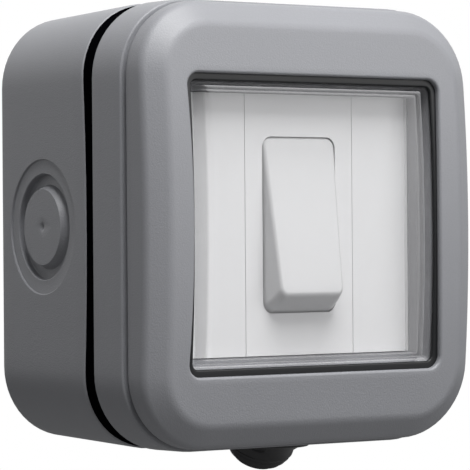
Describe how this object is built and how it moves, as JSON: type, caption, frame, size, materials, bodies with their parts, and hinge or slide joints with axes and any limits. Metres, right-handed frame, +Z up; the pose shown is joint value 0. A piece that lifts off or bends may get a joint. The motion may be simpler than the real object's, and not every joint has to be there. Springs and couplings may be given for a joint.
{
  "type": "outdoor weatherproof switch",
  "caption": "Surface-mounted weatherproof light switch: grey rounded box, bowed bezel with a clear flexible cover, white rocker tilted behind it, rubber seals, side knock-outs and a cable grommet.",
  "frame": {"origin": "centre of the flat back face that lies on the wall", "axes": "+Z up, +X to the right seen from the front, +Y into the wall; the front looks along -Y"},
  "size_m": [0.0866, 0.0637, 0.1052],
  "materials": {
    "housing_grey": "fine-grained moulded surface, satin sheen",
    "seal_black": "smooth, slightly glossy rubber",
    "clear_membrane": "clear flexible plastic film",
    "plate_white": "moulded white, satin",
    "rocker_white": "moulded white, satin",
    "inner_grey": "plain moulded",
    "case_white": "plain moulded",
    "brass": "plain, tumbled",
    "copper": "bright strip",
    "screw_steel": "zinc-plated",
    "plunger_grey": "plain moulded"
  },
  "bodies": {
    "body": {"back_box": "housing_grey", "front_housing": "housing_grey", "front_bezel": "housing_grey", "box_gasket": "seal_black", "window_seal": "seal_black", "cable_grommet": "seal_black", "clear_cover": "clear_membrane", "left_infill": "plate_white", "right_infill": "plate_white", "module_frame": "plate_white", "mounting_frame": "inner_grey", "frame_screws": "screw_steel", "housing_screws": "screw_steel", "screw_washers": "seal_black", "switch_case": "case_white", "common_terminal": "brass", "first_way_terminal": "brass", "second_way_terminal": "brass", "terminal_screws": "screw_steel", "earth_terminal": "brass", "loop_terminal": "brass", "earth_screw": "screw_steel", "loop_screw": "screw_steel"},
    "rocker": {"rocker": "rocker_white", "plunger_spring": "screw_steel"},
    "plunger": {"plunger": "plunger_grey"},
    "lever": {"contact_lever": "copper"}
  },
  "joints": [
    {"name": "rocker_tilt", "type": "hinge", "parent": "body", "child": "rocker", "pos_m": [0, -0.04664, 0], "axis": [1, 0, 0], "range_deg": [0, 17.65]},
    {"name": "lever_rock", "type": "hinge", "parent": "body", "child": "lever", "pos_m": [0, -0.03369, 0], "axis": [1, 0, 0], "range_deg": [-12.01, 0]},
    {"name": "plunger_slide", "type": "slide", "parent": "rocker", "child": "plunger", "axis": [0, -0.9882, 0.1534], "range_m": [0, 0.0008], "stiffness_N_per_m": 500, "springref_m": -0.003, "deforming": ["plunger_spring"]}
  ],
  "couplings": [
    {"joint": "lever_rock", "follows": "rocker_tilt", "ratio": -0.6798}
  ]
}
